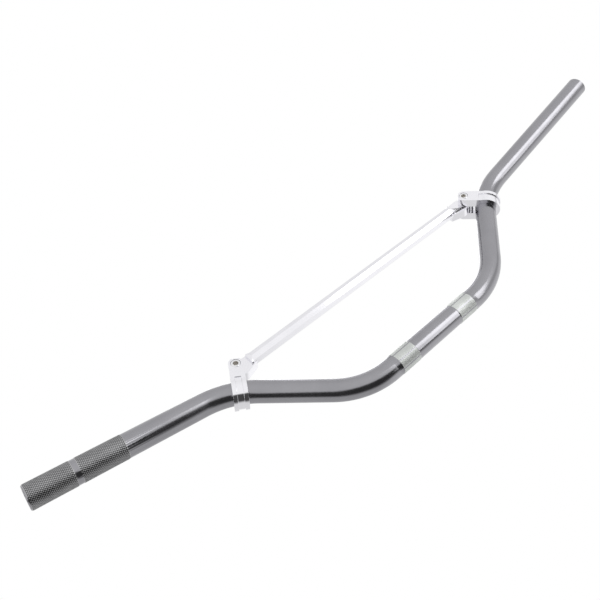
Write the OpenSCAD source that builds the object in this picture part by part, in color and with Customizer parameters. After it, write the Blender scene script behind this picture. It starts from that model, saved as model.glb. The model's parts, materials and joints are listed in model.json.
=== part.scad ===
// Motorcycle handlebar of the braced motocross type: one bent tube, an octagonal crossbar,
// and two one-piece clamps, each with a crossbar bolt and a pinch bolt.
// Frame: +X across the bar, +Z up along the rise, +Y forward. The rider is at -Y.
// The origin is on the tube's axis at the middle of the central clamping section.

/* [Tube] */
// Outside diameter of the tube
tube_d = 22.2; // [22.2:0.1:25.4]
// Wall thickness of the tube
tube_wall = 4; // [2.5:0.5:5]
// Chamfer on the rims of the tube's ends
rim_chamfer = 0.8; // [0.2:0.1:1]

/* [Bar shape] */
// Half of the width over the tube's axis, from the middle to one end
half_width = 371.7; // [360:0.1:400]
// Distance from the middle to the lower corner of the tube's axis
lower_corner = 91.7; // [90:0.1:105]
// Distance across from the lower corner to the upper corner
rise_run = 96.8; // [90:0.1:105]
// Height of the upper corner over the central section
rise = 87.5; // [75:0.1:95]
// Height of the tube's ends over the central section
end_height = 101.7; // [95:0.1:110]
// Sweep of the tube's ends back towards the rider
back_sweep = 43.9; // [30:0.1:55]
// Bend radius at the lower corners, on the tube's axis
lower_bend_r = 84.6; // [75:0.1:95]
// Bend radius at the upper corners, on the tube's axis
upper_bend_r = 77.9; // [70:0.1:90]
// How much the wall's two faces draw in through a bend
bend_draw = 0.1; // [0.05:0.05:0.3]

/* [Knurling] */
// How far the knurled zones stand over the tube
knurl_h = 0.3; // [0.1:0.05:0.5]
// Distance from the middle to the inner edge of each central zone
zone_in = 30.2; // [25:0.1:35]
// Distance from the middle to the outer edge of each central zone
zone_out = 53.3; // [50:0.1:60]
// Length of the knurling at the left end, before the plain band
grip_knurl_a = 38.5; // [35:0.5:50]
// Width of the plain band in the left knurling
grip_band = 5; // [3:0.5:10]
// Length of the knurling inboard of the plain band
grip_knurl_b = 40; // [35:0.5:50]

/* [Crossbar clamps] */
// Distance of the left clamp from the middle, measured along the tube's axis
left_station = 208.4; // [199:0.1:214]
// Distance of the right clamp from the middle, measured along the tube's axis
right_station = 198.8; // [198.8:0.1:214]
// Forward tilt of the clamps' ears about the tube, in degrees
ear_tilt = 10.5; // [0:0.5:15]
// Width of a clamp along the tube
clamp_w = 14.3; // [12:0.1:16]
// Outside diameter of a clamp's band
band_d = 32.6; // [30:0.1:34]
// Distance from the tube's axis to the outer face of an ear
ear_face = 15.8; // [14:0.1:16]
// Distance from the tube's axis to the crossbar bolt
bolt_reach = 24; // [23:0.1:28]
// Distance from the tube's axis to the pinch bolt
pinch_reach = 15.8; // [15.5:0.1:17]
// Gap between the two ears of a clamp
ear_gap = 11; // [8:0.1:11.5]
// Clearance between a clamp's bore and the tube
bore_play = 0.03; // [0.01:0.01:0.1]
// Width of the channel that runs round a clamp
channel_w = 6.2; // [4:0.1:8]
// Depth of the channel
channel_depth = 1.1; // [0.5:0.1:1.5]
// Height over the tube's axis at which the channel ends on each ear
channel_top = 7.5; // [6:0.1:12]

/* [Crossbar] */
// Size of the octagonal rod across its flats
rod_af = 12.9; // [11:0.1:14]
// Height of the rod's axis over the line between the crossbar bolts
rod_lift = 3.25; // [0:0.05:4.5]
// Turn of the rod's flats about its own axis, against the tongues, in degrees
rod_turn = 16; // [0:1:45]
// Thickness of the flat tongue at each end
tongue_t = 10.6; // [8:0.1:10.8]
// Distance from a crossbar bolt to the full section of the rod
tongue_len = 22; // [20:0.5:26]
// Length of the ramp between a tongue and the rod
ramp_len = 4; // [3:0.5:7]
// Radius of the wide part of the tongue
fan_r = 9; // [8:0.1:10]
// Distance of the wide part inboard of the bolt
fan_in = 6.2; // [5:0.1:7]
// Drop of the wide part below the bolt
fan_drop = 0.2; // [0:0.1:2]
// Radius of the tongue round its bolt
tongue_end_r = 5.2; // [5:0.1:5.4]

/* [Bolts] */
// Shank diameter of the crossbar bolts
bolt_d = 6; // [5:0.5:6]
// Head diameter of the crossbar bolts
bolt_head_d = 9.6; // [9:0.1:10]
// Head height of the crossbar bolts
bolt_head_h = 5; // [4:0.1:6]
// Hexagon socket of the crossbar bolts, across its flats
bolt_socket = 5; // [4:0.5:5]
// Shank diameter of the pinch bolts
pinch_d = 5; // [4:0.5:5]
// Head diameter of the pinch bolts
pinch_head_d = 8.4; // [8:0.1:8.6]
// Head height of the pinch bolts
pinch_head_h = 4.5; // [4:0.1:5]
// Hexagon socket of the pinch bolts, across its flats
pinch_socket = 4; // [3:0.5:4]
// Depth of a hexagon socket
socket_depth = 3; // [2:0.1:3.5]
// Radial clearance of a bolt in a clearance hole
bolt_play = 0.15; // [0.1:0.05:0.3]
// Radial clearance of a bolt in a threaded hole
thread_play = 0.03; // [0.01:0.01:0.05]
// Depth of a bolt head's face below the face of the ear
head_sink = 0.1; // [0:0.1:0.6]

/* [Hidden] */
$fn = 96;
far = 60;
bend_lap = 0.4;
tube_r = tube_d / 2;
bore_r = tube_r - tube_wall;
rise_angle = atan2(rise, rise_run);
rise_dir = [cos(rise_angle), 0, sin(rise_angle)];
upper = [lower_corner + rise_run, 0, rise];
tip = [half_width, -back_sweep, end_height];
grip_dir = unit(tip - upper);
upper_turn = acos(rise_dir * grip_dir);
turn_dir = unit(grip_dir - (rise_dir * grip_dir) * rise_dir);
roll = atan2(turn_dir * [0, 1, 0], turn_dir * [sin(rise_angle), 0, -cos(rise_angle)]);
lower_tan = lower_bend_r * tan(rise_angle / 2);
upper_tan = upper_bend_r * tan(upper_turn / 2);
rise_len = norm(upper - [lower_corner, 0, 0]);
grip_len = norm(tip - upper);
upper_start = lower_corner - lower_tan + lower_bend_r * rise_angle * PI / 180
              + rise_len - lower_tan - upper_tan;

function unit(p) = p / norm(p);
function turn_at(station) = (station - upper_start) / upper_bend_r * 180 / PI;
function axis_point(station) = let (a = turn_at(station))
    upper - upper_tan * rise_dir
    + upper_bend_r * (sin(a) * rise_dir + (1 - cos(a)) * turn_dir);
function axis_dir(station) = let (a = turn_at(station)) cos(a) * rise_dir + sin(a) * turn_dir;
// The forward and outward directions of a clamp on the right-hand side.
function flat_forward(station) = let (t = axis_dir(station)) unit([0, 1, 0] - t[1] * t);
function ear_forward(station) = let (f = flat_forward(station), t = axis_dir(station))
    cos(ear_tilt) * f - sin(ear_tilt) * cross(t, f);
function ear_up(station) = cross(axis_dir(station), ear_forward(station));
function bolt_point(station) = axis_point(station) + bolt_reach * ear_up(station);
function flip(p) = [-p[0], p[1], p[2]];

right_bolt = bolt_point(right_station);
left_bolt = flip(bolt_point(left_station));
rod_dir = unit(right_bolt - left_bolt);
rod_forward = let (f = ear_forward(right_station) + flip(ear_forward(left_station)))
    unit(f - (f * rod_dir) * rod_dir);
rod_up = cross(rod_dir, rod_forward);
span = norm(right_bolt - left_bolt);
rod_len = span - 2 * tongue_len;

// Moves its children to an origin with the given X, Y and Z directions.
module place(origin, x, y, z) {
    multmatrix([[x[0], y[0], z[0], origin[0]],
                [x[1], y[1], z[1], origin[1]],
                [x[2], y[2], z[2], origin[2]],
                [0, 0, 0, 1]]) children();
}

// A clamp's own frame: X outward along the tube, Y forward, Z from the tube to the bolts.
module on_clamp(station) {
    place(axis_point(station), axis_dir(station), ear_forward(station), ear_up(station)) children();
}

module left_half() mirror([1, 0, 0]) children();

// The frame at the lower corner, with X along the rise.
module on_rise() translate([lower_corner, 0, 0]) rotate([0, -rise_angle, 0]) children();

// The frame at the upper corner, rolled so that the upper bend lies in its X-Z plane.
module on_upper_corner() on_rise() translate([rise_len, 0, 0]) rotate([roll, 0, 0]) children();

// The frame at the upper corner, with X along the grip.
module on_grip() on_upper_corner() rotate([0, upper_turn, 0]) children();

module along_x() rotate([0, 90, 0]) children();

module ring(outer, inner) {
    difference() {
        circle(outer);
        if (inner > 0) circle(inner);
    }
}

// A straight length of tube along X.
module straight(from, to, outer, inner) {
    translate([from, 0, 0]) along_x() linear_extrude(to - from) ring(outer, inner);
}

// A bent length of tube in the X-Y plane, from one direction of its radius to another.
// It laps a little into the straight at each end.
module bent(radius, from, to, outer, inner) {
    rotate([0, 0, from - bend_lap]) rotate_extrude(angle = to - from + 2 * bend_lap, $fn = 240)
        translate([radius, 0]) ring(outer, inner);
}

module lower_bend() {
    translate([lower_corner - lower_tan, 0, lower_bend_r]) rotate([90, 0, 0])
        bent(lower_bend_r, -90, rise_angle - 90, tube_r - bend_draw, bore_r + bend_draw);
}

module upper_bend(outer, inner) {
    on_upper_corner() translate([-upper_tan, 0, -upper_bend_r]) rotate([90, 0, 0])
        bent(upper_bend_r, 90 - upper_turn, 90, outer, inner);
}

// The right half of the tube, from the end of the central straight to the chamfered rim.
module half_tube() {
    lower_bend();
    on_rise() straight(lower_tan, rise_len - upper_tan, tube_r, bore_r);
    upper_bend(tube_r - bend_draw, bore_r + bend_draw);
    on_grip() along_x() rotate_extrude() polygon([
        [bore_r, upper_tan], [tube_r, upper_tan], [tube_r, grip_len - rim_chamfer],
        [tube_r - rim_chamfer, grip_len], [bore_r + rim_chamfer, grip_len],
        [bore_r, grip_len - rim_chamfer]]);
}

module knurled_zone(from, to) {
    straight(from, to, tube_r + knurl_h, tube_r - 0.5);
}

module handlebar_tube() {
    color([0.44, 0.44, 0.46]) {
        straight(lower_tan - lower_corner, lower_corner - lower_tan, tube_r, bore_r);
        half_tube();
        left_half() half_tube();
    }
    color([0.62, 0.64, 0.62]) {
        knurled_zone(zone_in, zone_out);
        left_half() knurled_zone(zone_in, zone_out);
    }
    color([0.4, 0.4, 0.41]) left_half() on_grip() {
        knurled_zone(grip_len - grip_knurl_a, grip_len - rim_chamfer);
        knurled_zone(grip_len - grip_knurl_a - grip_band - grip_knurl_b,
                     grip_len - grip_knurl_a - grip_band);
    }
}

// Side view of a clamp, with X forward and Y from the tube to the bolts.
module clamp_outline(inset) {
    circle(band_d / 2 - inset);
    translate([inset - ear_face, 0]) square([2 * (ear_face - inset), far / 2]);
}

// Front view of a clamp: parallel sides and a half round about the crossbar bolt.
module clamp_front() {
    half = clamp_w / 2;
    polygon([[half, -far / 2], for (a = [0:7.5:180]) [half * cos(a), bolt_reach + half * sin(a)],
             [-half, -far / 2]]);
}

module side_prism(width) rotate([90, 0, 90]) linear_extrude(width, center = true) children();

module clamp_blank() {
    intersection() {
        side_prism(clamp_w + 2) clamp_outline(0);
        rotate([90, 0, 0]) linear_extrude(far, center = true) clamp_front();
    }
}

// What is milled away round the middle of the clamp.
module clamp_channel() {
    difference() {
        side_prism(channel_w) translate([-far / 2, -far / 2]) square([far, far / 2 + channel_top]);
        side_prism(2 * channel_w) clamp_outline(channel_depth);
    }
}

// Counterbore for a head, in the front ear with side -1 and in the rear ear with side 1.
module head_pocket(side, head_d, head_h) {
    translate([0, side * (ear_face - head_h - head_sink), 0]) rotate([-90 * side, 0, 0])
        cylinder(r = head_d / 2 + bolt_play, h = far);
}

// A hole through one ear: the front one with side -1, the rear one with side 1.
module ear_hole(side, radius) {
    rotate([-90 * side, 0, 0]) cylinder(r = radius, h = far);
}

module clamp_holes() {
    translate([0, 0, bolt_reach]) {
        head_pocket(-1, bolt_head_d, bolt_head_h);
        ear_hole(-1, bolt_d / 2 + bolt_play);
        ear_hole(1, bolt_d / 2 + thread_play);
    }
    translate([0, 0, pinch_reach]) {
        head_pocket(1, pinch_head_d, pinch_head_h);
        ear_hole(1, pinch_d / 2 + bolt_play);
        rotate([90, 0, 0]) cylinder(r = pinch_d / 2 + thread_play, h = ear_face - 2);
    }
}

module clamp(station) {
    color([0.87, 0.87, 0.88]) difference() {
        on_clamp(station) clamp_blank();
        on_clamp(station) {
            clamp_channel();
            translate([-far / 2, -ear_gap / 2, 0]) cube([far, ear_gap, far]);
            clamp_holes();
        }
        upper_bend(tube_r - bend_draw + bore_play, 0);
    }
}

module clamp_left() left_half() clamp(left_station);
module clamp_right() clamp(right_station);

// A socket-head bolt along Y. Its head faces the side given, and the origin is the clamp's mid-plane.
module bolt(side, shank_d, head_d, head_h, socket, shank_end) {
    head_top = ear_face - head_sink;
    rotate([-90 * side, 0, 0]) difference() {
        union() {
            translate([0, 0, -shank_end]) cylinder(d = shank_d, h = shank_end + head_top - head_h + 0.1);
            rotate_extrude() polygon([
                [0, head_top - head_h], [head_d / 2, head_top - head_h], [head_d / 2, head_top - 0.4],
                [head_d / 2 - 0.4, head_top], [0, head_top]]);
        }
        translate([0, 0, head_top - socket_depth])
            cylinder(d = socket / cos(30), h = far, $fn = 6);
    }
}

module crossbar_bolt(station) {
    color([0.72, 0.71, 0.69]) on_clamp(station) translate([0, 0, bolt_reach])
        bolt(-1, bolt_d, bolt_head_d, bolt_head_h, bolt_socket, ear_face - 0.5);
}

module pinch_bolt(station) {
    color([0.72, 0.71, 0.69]) on_clamp(station) translate([0, 0, pinch_reach])
        bolt(1, pinch_d, pinch_head_d, pinch_head_h, pinch_socket, ear_face - 3);
}

module crossbar_bolt_left() left_half() crossbar_bolt(left_station);
module crossbar_bolt_right() crossbar_bolt(right_station);
module pinch_bolt_left() left_half() pinch_bolt(left_station);
module pinch_bolt_right() pinch_bolt(right_station);

// The rod's frame at a distance from the left bolt, with X along the rod and Y forward.
module on_rod(distance) {
    place(left_bolt + distance * rod_dir + rod_lift * rod_up, rod_dir, rod_forward, rod_up)
        children();
}

// A length of the octagonal rod. Without the turn it has flats to the front and the rear.
module rod_section(length, size) along_x() rotate([0, 0, 22.5 - rod_turn])
    cylinder(d = size / cos(22.5), h = length, $fn = 8);

// The flat tongue at a clamp. The rod leaves it inboard, in the direction given.
module tongue(station, inboard) {
    slant = atan2(inboard * ear_up(station), -(inboard * axis_dir(station)));
    on_clamp(station) translate([0, 0, bolt_reach]) rotate([0, slant, 0]) rotate([90, 0, 0])
        linear_extrude(tongue_t, center = true) hull() {
            circle(tongue_end_r);
            translate([-fan_in, -fan_drop]) circle(fan_r);
            translate([-tongue_len - 1, rod_lift + 0.2 - rod_af / 2]) square([0.5, rod_af - 0.4]);
        }
}

module bolt_hole(station) {
    on_clamp(station) translate([0, 0, bolt_reach]) rotate([90, 0, 0])
        cylinder(r = bolt_d / 2 + bolt_play, h = far, center = true);
}

// The ramp from a tongue's thickness up to the full rod, inward from its thin end.
module ramp(thin_at, inward) {
    hull() {
        on_rod(thin_at) cube([0.2, tongue_t - 0.4, rod_af - 1], center = true);
        on_rod(thin_at + inward * ramp_len) rod_section(0.5, rod_af - 0.1);
    }
}

module crossbar() {
    color([0.9, 0.9, 0.91]) difference() {
        union() {
            on_rod(tongue_len) rod_section(rod_len, rod_af);
            ramp(tongue_len - ramp_len, 1);
            ramp(span - tongue_len + ramp_len, -1);
            left_half() tongue(left_station, flip(rod_dir));
            tongue(right_station, -rod_dir);
        }
        left_half() bolt_hole(left_station);
        bolt_hole(right_station);
    }
}

handlebar_tube();
crossbar();
clamp_left();
clamp_right();
crossbar_bolt_left();
crossbar_bolt_right();
pinch_bolt_left();
pinch_bolt_right();
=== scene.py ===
"""Looks of a braced motorcycle handlebar.

A satin grey anodised tube with cut knurling, and a polished crossbar and clamps.

Metres, in the CAD frame: +X across the bar, +Y forward, +Z up, the origin on the tube's axis at the middle.
"""
import json
import math

import bmesh
import bpy
import numpy as np
from mathutils import Matrix, Vector


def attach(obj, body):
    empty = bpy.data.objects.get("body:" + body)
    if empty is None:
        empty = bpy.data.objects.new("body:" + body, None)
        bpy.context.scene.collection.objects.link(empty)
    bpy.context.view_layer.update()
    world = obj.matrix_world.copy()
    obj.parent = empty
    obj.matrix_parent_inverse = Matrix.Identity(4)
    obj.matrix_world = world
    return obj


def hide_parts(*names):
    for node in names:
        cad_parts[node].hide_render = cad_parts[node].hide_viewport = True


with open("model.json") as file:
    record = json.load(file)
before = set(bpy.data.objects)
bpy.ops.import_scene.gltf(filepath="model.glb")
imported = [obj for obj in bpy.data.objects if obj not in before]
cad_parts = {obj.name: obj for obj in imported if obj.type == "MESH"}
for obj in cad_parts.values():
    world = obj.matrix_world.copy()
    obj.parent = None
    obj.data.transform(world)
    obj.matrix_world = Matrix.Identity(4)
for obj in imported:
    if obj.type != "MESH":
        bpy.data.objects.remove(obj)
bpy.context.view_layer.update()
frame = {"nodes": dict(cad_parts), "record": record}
nodes = frame["nodes"]
mounts = {m["name"]: m for m in frame["record"]["mounts"]}

MM = 0.001

# The tube's axis: two corners a side, each rounded by a bend.
TUBE_R = mounts["riser_centre"]["dims"]["r_mm"] * MM
BORE_R = mounts["end_bore_right"]["dims"]["r_mm"] * MM
LOWER_CORNER = Vector((91.7, 0, 0)) * MM
UPPER_CORNER = Vector((188.5, 0, 87.5)) * MM
TIP = Vector((371.7, -43.9, 101.7)) * MM
LOWER_BEND_R = 84.6 * MM
UPPER_BEND_R = 77.9 * MM
RIM_CHAMFER = 0.8 * MM
BORE_DEPTH = 60 * MM

# The bolts' sockets.
SOCKET_REACH = 3.0 * MM
SOCKET_DEPTH = 3.4 * MM

# Knurling.
AROUND = 204
KNURL_PITCH = 2.15 * MM
STEPS_A_PITCH = 6
KNURL_DEPTH = 0.32 * MM
KNURL_LIFT = 0.3 * MM
ZONE_IN = 30.2 * MM
ZONE_OUT = 53.3 * MM
GRIP_ZONES = ((1.2 * MM, 38.5 * MM), (43.5 * MM, 83.5 * MM))
PATCHES = 8
PATCH_SHARE = 0.84
PATCH_TURN = math.radians(11)
PATCH_LIFT = 0.18 * MM
PATCH_DEPTH = 0.12 * MM


# ---------------------------------------------------------------- the tube's axis

def bend(before, corner, after, radius):
    """The tangent points, centre and angle of the arc that rounds a corner."""
    back = (before - corner).normalized()
    on = (after - corner).normalized()
    turn = math.pi - back.angle(on)
    reach = radius * math.tan(turn / 2)
    centre = corner + (back + on).normalized() * (radius / math.cos(turn / 2))
    return corner + back * reach, corner + on * reach, centre, turn


class HalfAxis:
    """The axis from the middle to the right-hand end, measured by length."""

    def __init__(self):
        self.stretches = []
        start = Vector((0, 0, 0))
        corners = ((LOWER_CORNER, UPPER_CORNER, LOWER_BEND_R), (UPPER_CORNER, TIP, UPPER_BEND_R))
        self.length = 0.0
        for corner, after, radius in corners:
            enter, leave, centre, turn = bend(start, corner, after, radius)
            self._line(start, enter)
            self.stretches.append((self.length, self.length + radius * turn, "arc", enter, centre,
                                   (corner - enter).normalized(), radius))
            self.length += radius * turn
            start = leave
        self._line(start, TIP)

    def _line(self, start, end):
        run = (end - start).length
        direction = (end - start).normalized()
        self.stretches.append((self.length, self.length + run, "line", start, None, direction, 0.0))
        self.length += run

    def at(self, s):
        """The point and direction at a length from the middle."""
        for low, high, kind, start, centre, direction, radius in self.stretches:
            if s <= high + 1e-9:
                break
        if kind == "line":
            return start + direction * (s - low), direction
        a = (s - low) / radius
        out = (start - centre).normalized()
        return (centre + (out * math.cos(a) + direction * math.sin(a)) * radius,
                direction * math.cos(a) - out * math.sin(a))


AXIS = HalfAxis()


def axis_at(s):
    """The point and the +X-ward direction at a signed length from the middle."""
    point, direction = AXIS.at(abs(s))
    if s < 0:
        return Vector((-point.x, point.y, point.z)), Vector((direction.x, -direction.y, -direction.z))
    return point, direction


# ---------------------------------------------------------------- the tube's surface

def ridge(value):
    """1 in the middle between two whole numbers and 0 on them, rising steeply to a flat crest."""
    part = value - math.floor(value)
    return min(1.0, 2.6 * min(part, 1 - part))


def diamond(along, turn, columns):
    """Height of a diamond knurl, 0 to 1, from two crossing families of helical grooves."""
    u = along / KNURL_PITCH
    v = turn * columns
    return min(ridge(u + v), ridge(u - v))


def grip_zone(s):
    """Length into the left grip's knurling, or None."""
    end = AXIS.length + s
    for low, high in GRIP_ZONES:
        if low < end < high:
            return end
    return None


def in_centre_zone(s):
    return ZONE_IN < abs(s) < ZONE_OUT


def crest(s, turn):
    """Height in the knurling, 0 to 1, and 1 on the smooth tube."""
    end = grip_zone(s)
    return 1.0 if end is None else diamond(end, turn, AROUND // STEPS_A_PITCH)


def patch_edge(turn):
    """1 inside a central patch, 0 in the plain strip between two."""
    share = (turn * PATCHES + PATCH_TURN * PATCHES / (2 * math.pi)) % 1.0
    return 1.0 if share < PATCH_SHARE else 0.0


def tube_radius(s, turn):
    columns = AROUND // STEPS_A_PITCH
    end = grip_zone(s)
    if end is not None:
        return TUBE_R + KNURL_LIFT - KNURL_DEPTH * (1 - diamond(end, turn, columns))
    if in_centre_zone(s):
        if patch_edge(turn):
            return TUBE_R + KNURL_LIFT - PATCH_DEPTH * (1 - diamond(s, turn, columns))
        return TUBE_R + KNURL_LIFT - PATCH_LIFT
    return TUBE_R


def tube_stations():
    """Lengths at which the tube has a ring: close together in the knurling and in the bends."""
    marks = set()
    step = KNURL_PITCH / STEPS_A_PITCH
    for low, high in GRIP_ZONES:
        n = int(round((high - low) / step))
        marks.update(-AXIS.length + low + (high - low) * i / n for i in range(1, n))
        marks.update((-AXIS.length + low - 0.25 * MM, -AXIS.length + high + 0.25 * MM))
    n = int(round((ZONE_OUT - ZONE_IN) / step))
    for side in (-1, 1):
        marks.update(side * (ZONE_IN + (ZONE_OUT - ZONE_IN) * (i + 0.5) / n) for i in range(n))
        marks.update((side * (ZONE_IN - 0.25 * MM), side * (ZONE_OUT + 0.25 * MM)))
    for low, high, kind, *_ in AXIS.stretches:
        n = 40 if kind == "arc" else 4
        for side in (-1, 1):
            marks.update(side * (low + (high - low) * i / n) for i in range(n + 1))
    marks -= {AXIS.length, -AXIS.length}
    ordered = sorted(marks)
    kept = [ordered[0]]
    for m in ordered[1:]:
        if m - kept[-1] > 0.05 * MM:
            kept.append(m)
    return [m for m in kept if abs(m) < AXIS.length - RIM_CHAMFER - 0.1 * MM]


def ring_points(s, radius_of):
    """The ring of points round the axis at s. Turn 0 is at the rear, towards the rider."""
    point, direction = axis_at(s)
    forward = Vector((0, 1, 0))
    forward = (forward - direction * forward.dot(direction)).normalized()
    up = direction.cross(forward)
    points = []
    for i in range(AROUND):
        turn = i / AROUND
        a = turn * 2 * math.pi
        points.append(point + (up * math.sin(a) - forward * math.cos(a)) * radius_of(s, turn))
    return points


def tube_profile():
    """Every ring of the tube, as (length, radius function), from the left bore round to the right bore."""
    def plain(radius):
        return lambda s, turn: radius
    end = AXIS.length
    rim = [(end - BORE_DEPTH, BORE_R), (end - RIM_CHAMFER, BORE_R),
           (end - 0.06 * MM, BORE_R + RIM_CHAMFER - 0.06 * MM), (end, BORE_R + RIM_CHAMFER),
           (end, TUBE_R - RIM_CHAMFER), (end - 0.06 * MM, TUBE_R - RIM_CHAMFER + 0.06 * MM),
           (end - RIM_CHAMFER, TUBE_R), (end - RIM_CHAMFER - 0.06 * MM, TUBE_R)]
    left = [(-s, plain(r)) for s, r in rim]
    right = [(s, plain(r)) for s, r in reversed(rim)]
    return left + [(s, tube_radius) for s in tube_stations()] + right


SMOOTH, GRIP, PATCH = range(3)


def tube_face_material(s, turn):
    if grip_zone(s) is not None:
        return GRIP
    if in_centre_zone(s) and patch_edge(turn):
        return PATCH
    return SMOOTH


def build_tube(materials):
    profile = tube_profile()
    rings = [ring_points(s, radius_of) for s, radius_of in profile]
    verts = [p for ring in rings for p in ring]
    faces = []
    kinds = []
    for k in range(len(rings) - 1):
        middle = (profile[k][0] + profile[k + 1][0]) / 2
        for i in range(AROUND):
            j = (i + 1) % AROUND
            faces.append((k * AROUND + i, (k + 1) * AROUND + i, (k + 1) * AROUND + j, k * AROUND + j))
            kinds.append(tube_face_material(middle, (i + 0.5) / AROUND))
    last = (len(rings) - 1) * AROUND
    faces.append(tuple(range(AROUND)))
    faces.append(tuple(last + i for i in reversed(range(AROUND))))
    kinds += [SMOOTH, SMOOTH]
    mesh = bpy.data.meshes.new("tube")
    mesh.from_pydata(verts, [], faces)
    for m in materials:
        mesh.materials.append(m)
    mesh.polygons.foreach_set("material_index", kinds)
    mesh.polygons.foreach_set("use_smooth", [True] * len(faces))
    heights = mesh.attributes.new("crest", "FLOAT", "POINT")
    heights.data.foreach_set("value", [crest(s, i / AROUND) for s, _ in profile for i in range(AROUND)])
    bm = bmesh.new()
    bm.from_mesh(mesh)
    bmesh.ops.recalc_face_normals(bm, faces=bm.faces)
    bm.to_mesh(mesh)
    bm.free()
    mesh.set_sharp_from_angle(angle=math.radians(38))
    tube = bpy.data.objects.new("tube", mesh)
    bpy.context.scene.collection.objects.link(tube)
    return tube


# ---------------------------------------------------------------- edges of the machined parts

def eased(node, name, width, material, guarded=False):
    """A copy of a CAD node with its edges eased by a small round, which the light catches.

    A guarded round never grows past a short edge, as where the crossbar's ramps meet its rod.
    """
    source = nodes[node].data
    bm = bmesh.new()
    bm.from_mesh(source)
    bmesh.ops.remove_doubles(bm, verts=bm.verts, dist=0.002 * MM)
    bmesh.ops.dissolve_limit(bm, angle_limit=math.radians(0.4), verts=bm.verts, edges=bm.edges)
    mesh = bpy.data.meshes.new(name)
    bm.to_mesh(mesh)
    bm.free()
    mesh.materials.clear()
    mesh.materials.append(material)
    piece = bpy.data.objects.new(name, mesh)
    bpy.context.scene.collection.objects.link(piece)
    round_off = piece.modifiers.new("round", "BEVEL")
    round_off.limit_method = "ANGLE"
    round_off.angle_limit = math.radians(24)
    round_off.width = width
    round_off.segments = 3
    round_off.use_clamp_overlap = guarded
    round_off.harden_normals = False
    mesh.polygons.foreach_set("use_smooth", [True] * len(mesh.polygons))
    even = piece.modifiers.new("even", "WEIGHTED_NORMAL")
    even.keep_sharp = True
    even.weight = 80
    bpy.context.view_layer.update()
    done = bpy.data.meshes.new_from_object(piece.evaluated_get(bpy.context.evaluated_depsgraph_get()))
    piece.modifiers.clear()
    piece.data = done
    return piece


# ---------------------------------------------------------------- materials

def material(name):
    mat = bpy.data.materials.new(name)
    mat.use_nodes = True
    tree = mat.node_tree
    return mat, tree, tree.nodes["Principled BSDF"]


def add(tree, kind, **values):
    node = tree.nodes.new(kind)
    for key, value in values.items():
        if key in node.inputs:
            node.inputs[key].default_value = value
        else:
            setattr(node, key, value)
    return node


def object_noise(tree, scale, stretch=(1, 1, 1), detail=4.0, roughness=0.55):
    """A noise in the object's own space, stretched along its axes."""
    place = add(tree, "ShaderNodeTexCoord")
    mapping = add(tree, "ShaderNodeMapping")
    mapping.inputs["Scale"].default_value = stretch
    tree.links.new(place.outputs["Object"], mapping.inputs["Vector"])
    noise = add(tree, "ShaderNodeTexNoise", Scale=scale, Detail=detail, Roughness=roughness)
    tree.links.new(mapping.outputs["Vector"], noise.inputs["Vector"])
    return noise.outputs["Fac"]


def spread(tree, value, low, high):
    """A value of 0.3 to 0.7 carried to low to high."""
    node = add(tree, "ShaderNodeMapRange")
    node.inputs["From Min"].default_value = 0.3
    node.inputs["From Max"].default_value = 0.7
    node.inputs["To Min"].default_value = low
    node.inputs["To Max"].default_value = high
    tree.links.new(value, node.inputs["Value"])
    return node.outputs["Result"]


def two_tone(tree, value, dark, light):
    ramp = add(tree, "ShaderNodeValToRGB")
    ramp.color_ramp.elements[0].position = 0.32
    ramp.color_ramp.elements[0].color = (*dark, 1)
    ramp.color_ramp.elements[1].position = 0.68
    ramp.color_ramp.elements[1].color = (*light, 1)
    tree.links.new(value, ramp.inputs["Fac"])
    return ramp.outputs["Color"]


def bump(tree, shader, value, distance, strength=1.0):
    node = add(tree, "ShaderNodeBump", Strength=strength, Distance=distance)
    tree.links.new(value, node.inputs["Height"])
    tree.links.new(node.outputs["Normal"], shader.inputs["Normal"])


def metal(name, dark, light, gloss, grain_scale, stretch, grain_depth):
    """A metal with cloudy tone, uneven gloss and a fine grain."""
    mat, tree, shader = material(name)
    shader.inputs["Metallic"].default_value = 1.0
    clouds = object_noise(tree, 38, detail=5)
    tree.links.new(two_tone(tree, clouds, dark, light), shader.inputs["Base Color"])
    smears = object_noise(tree, 90, stretch, detail=6, roughness=0.65)
    tree.links.new(spread(tree, smears, *gloss), shader.inputs["Roughness"])
    grain = object_noise(tree, grain_scale, stretch, detail=3)
    bump(tree, shader, grain, grain_depth)
    return mat


def anodised():
    return metal("anodised_grey", (0.318, 0.315, 0.335), (0.350, 0.347, 0.368), (0.17, 0.23),
                 1400, (1, 1, 1), 0.000012)


def anodised_knurl():
    """The anodised metal, with painted shade making it darker in the grooves."""
    mat = metal("anodised_knurl", (0.16, 0.16, 0.165), (0.47, 0.47, 0.475), (0.24, 0.34),
                2200, (1, 1, 1), 0.00003)
    tree = mat.node_tree
    height = add(tree, "ShaderNodeAttribute", attribute_name="crest").outputs["Fac"]
    clouds = scalar(tree, "MULTIPLY", object_noise(tree, 60), 0.3)
    tone = scalar(tree, "ADD", scalar(tree, "MULTIPLY", height, 0.7), clouds)
    # Painted shade: the base colour goes near black where the knurl's crest height is low, in the grooves.
    color = two_tone(tree, tone, (0.10, 0.10, 0.104), (0.47, 0.47, 0.475))
    tree.links.new(color, tree.nodes["Principled BSDF"].inputs["Base Color"])
    return mat


def blasted_patch():
    return metal("bare_patch", (0.58, 0.60, 0.585), (0.70, 0.72, 0.70), (0.42, 0.55),
                 2600, (1, 1, 1), 0.00006)


def polished(name, stretch):
    return metal(name, (0.86, 0.855, 0.89), (0.90, 0.895, 0.93), (0.09, 0.15), 260, stretch, 0.000002)


def zinc():
    return metal("zinc_plate", (0.80, 0.80, 0.82), (0.88, 0.88, 0.90), (0.14, 0.22), 700, (1, 1, 1), 0.000003)


def painted_socket_shade():
    # Painted shade in the bolts' sockets: a darker, duller zinc colour for the recess.
    return metal("socket_painted_shade", (0.58, 0.555, 0.52), (0.70, 0.675, 0.64), (0.30, 0.45),
                 900, (1, 1, 1), 0.00002)


# ---------------------------------------------------------------- the pieces

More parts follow.
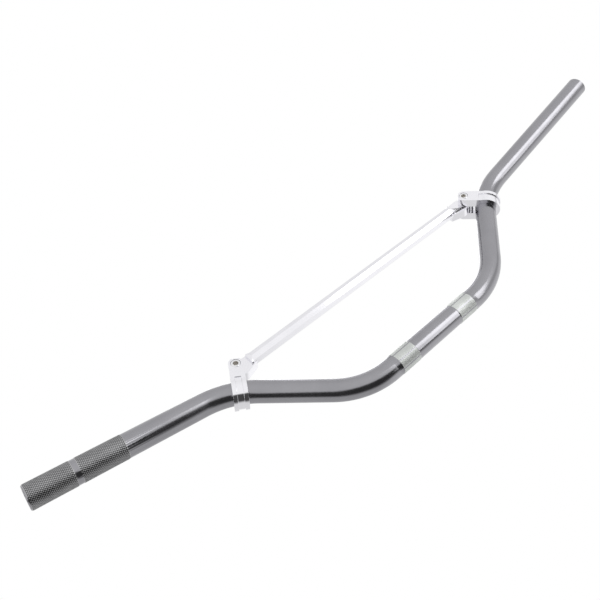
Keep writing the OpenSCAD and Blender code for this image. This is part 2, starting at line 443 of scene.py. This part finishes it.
def settle(piece, slot, *replaced):
    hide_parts(*replaced)
    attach(piece, "root")


def shade_socket(bolt, shade):
    """The walls and the floor of a bolt's socket get painted shade: a darker metal colour than the rest of
    it.
    """
    mesh = bolt.data
    mesh.materials.append(shade)
    points = np.array([v.co for v in mesh.vertices])
    middle = points.mean(axis=0)
    axis = np.linalg.eigh(np.cov((points - middle).T))[1][:, 2]
    along = (points - middle) @ axis
    away = np.linalg.norm((points - middle) - along[:, None] * axis, axis=1)
    if along[away.argmax()] < 0:
        axis = -axis
        along = -along
    head = along.max()
    for face in mesh.polygons:
        out = np.array(face.center) - middle
        height = out @ axis
        radial = out - height * axis
        reach = np.linalg.norm(radial)
        normal = np.array(face.normal)
        wall = reach > 0 and normal @ radial < -0.3 * reach
        floor = abs(normal @ axis) > 0.9 and height < head - 1.0 * MM
        inside = reach < SOCKET_REACH and height > max(0, head - SOCKET_DEPTH)
        if inside and (wall or floor):
            face.material_index = 1


def make_pieces():
    tube = build_tube([anodised(), anodised_knurl(), blasted_patch()])
    settle(tube, "tube_anodised", "handlebar_tube")
    rod = eased("crossbar", "brace_rod", 0.45 * MM, polished("polished_rod", (0.12, 1, 1)), guarded=True)
    settle(rod, "polished_aluminium", "crossbar")
    cast = polished("polished_clamp", (1, 1, 0.35))
    for side in ("left", "right"):
        clamp = eased("clamp_" + side, "brace_clamp_" + side, 0.2 * MM, cast)
        settle(clamp, "polished_aluminium", "clamp_" + side)
    plate = zinc()
    # The sockets get painted shade, darker than the bolt heads.
    shade = painted_socket_shade()
    for kind in ("crossbar_bolt", "pinch_bolt"):
        for side in ("left", "right"):
            bolt = eased(f"{kind}_{side}", f"{kind}_{side}_eased", 0.1 * MM, plate)
            shade_socket(bolt, shade)
            settle(bolt, "zinc_bolts", f"{kind}_{side}")


# ---------------------------------------------------------------- camera, floor and light

CAMERA_AT = Vector((-0.29323, -0.50911, -0.1674))
CAMERA_AIM = Vector((-0.06903, 0.0, 0.12058))
CAMERA_ROLL = math.radians(-48.444)
CAMERA_VIEW = math.radians(52.837)
FLOOR_Z = -0.5
FLOOR_HALF = 1.5


def make_camera():
    data = bpy.data.cameras.new("camera")
    data.angle = CAMERA_VIEW
    data.clip_start = 0.01
    camera = bpy.data.objects.new("camera", data)
    bpy.context.scene.collection.objects.link(camera)
    look = (CAMERA_AIM - CAMERA_AT).to_track_quat("-Z", "Y").to_matrix().to_4x4()
    camera.matrix_world = Matrix.Translation(CAMERA_AT) @ look @ Matrix.Rotation(CAMERA_ROLL, 4, "Z")
    bpy.context.scene.camera = camera


def make_floor():
    mesh = bpy.data.meshes.new("floor")
    half = FLOOR_HALF
    mesh.from_pydata([(-half, -half, FLOOR_Z), (half, -half, FLOOR_Z), (half, half, FLOOR_Z),
                      (-half, half, FLOOR_Z)], [], [(0, 1, 2, 3)])
    mat, tree, shader = material("pale_floor")
    shade = object_noise(tree, 3, detail=3)
    tone = two_tone(tree, shade, (0.94, 0.94, 0.94), (0.955, 0.955, 0.955))
    tree.links.new(tone, shader.inputs["Base Color"])
    shader.inputs["Roughness"].default_value = 0.9
    mesh.materials.append(mat)
    floor = bpy.data.objects.new("floor", mesh)
    floor.visible_glossy = False
    bpy.context.scene.collection.objects.link(floor)


def scalar(tree, operation, first, second=None, third=None):
    """A math node on sockets or numbers."""
    node = tree.nodes.new("ShaderNodeMath")
    node.operation = operation
    for socket, value in zip(node.inputs, (first, second, third)):
        if value is None:
            continue
        if isinstance(value, (int, float)):
            socket.default_value = value
        else:
            tree.links.new(value, socket)
    return node.outputs[0]


def ramp(tree, value, from_min, from_max, to_min, to_max):
    """A value carried smoothly from one range to another."""
    node = add(tree, "ShaderNodeMapRange", interpolation_type="SMOOTHSTEP")
    node.inputs["From Min"].default_value = from_min
    node.inputs["From Max"].default_value = from_max
    node.inputs["To Min"].default_value = to_min
    node.inputs["To Max"].default_value = to_max
    tree.links.new(value, node.inputs["Value"])
    return node.outputs["Result"]


def blend(tree, share, first, second):
    """first where share is 0 and second where it is 1."""
    node = add(tree, "ShaderNodeMix", data_type="FLOAT")
    for index, value in ((0, share), (2, first), (3, second)):
        if isinstance(value, float):
            node.inputs[index].default_value = value
        else:
            tree.links.new(value, node.inputs[index])
    return node.outputs[0]


def make_studio():
    """A white cove with a dark gap low behind the camera, seen only in the metal; the backdrop is white."""
    world = bpy.data.worlds.new("studio")
    bpy.context.scene.world = world
    world.use_nodes = True
    tree = world.node_tree
    back = tree.nodes["Background"]
    place = add(tree, "ShaderNodeTexCoord")
    parts = add(tree, "ShaderNodeSeparateXYZ")
    tree.links.new(place.outputs["Generated"], parts.inputs["Vector"])
    x, y, z = parts.outputs
    # The angle about the X axis: 0 towards the rider, 90 up, -90 down, 180 forward.
    about_x = scalar(tree, "ARCTAN2", z, scalar(tree, "MULTIPLY", y, -1.0))
    angle = scalar(tree, "MULTIPLY", about_x, 180 / math.pi)
    # Forward of the object the cove is white; above and behind it the room is greyer.
    cove = ramp(tree, y, -0.15, 0.30, 0.0, 1.0)
    room = ramp(tree, angle, 10, 80, 0.98, 0.87)
    white = ramp(tree, x, 0.0, 0.5, 0.74, 1.04)
    above = ramp(tree, z, -0.02, 0.06, 0.0, 1.0)
    light = blend(tree, cove, room, blend(tree, above, white, 0.90))
    # Below and behind it is dark, less so to the right.
    lower = scalar(tree, "ADD", angle, ramp(tree, x, 0.10, 0.40, 10, -4))
    over_it = ramp(tree, lower, -98, -70, 0.0, 1.0)
    under_it = ramp(tree, angle, -36, -28, 1.0, 0.0)
    gap = scalar(tree, "MULTIPLY", over_it, under_it)
    dark = scalar(tree, "MULTIPLY", gap, ramp(tree, x, 0.42, 0.58, -0.94, -0.30))
    seen = scalar(tree, "MULTIPLY", light, scalar(tree, "ADD", dark, 1.0))
    ray = add(tree, "ShaderNodeLightPath")
    tree.links.new(blend(tree, ray.outputs["Is Camera Ray"], seen, 1.0), back.inputs["Strength"])
    back.inputs["Color"].default_value = (1, 1, 1, 1)


def area_light(name, at, aim, size, power, diffuse=True):
    data = bpy.data.lights.new(name, "AREA")
    data.shape = "RECTANGLE"
    data.size, data.size_y = size
    data.energy = power
    lamp = bpy.data.objects.new(name, data)
    lamp.location = at
    lamp.rotation_euler = (Vector(aim) - Vector(at)).to_track_quat("-Z", "Y").to_euler()
    lamp.visible_camera = False
    lamp.visible_diffuse = diffuse
    bpy.context.scene.collection.objects.link(lamp)


make_pieces()
make_camera()
make_floor()
make_studio()
area_light("soft_box", (0.87, -1.07, -0.6175), (0.87, 0.0, 0.0), (0.66, 1.42), 5.7, diffuse=False)
area_light("back", (0.8, 1.6, 1.5), (0, 0, 0.05), (1.4, 0.8), 5)
bpy.context.scene.view_settings.view_transform = "Standard"
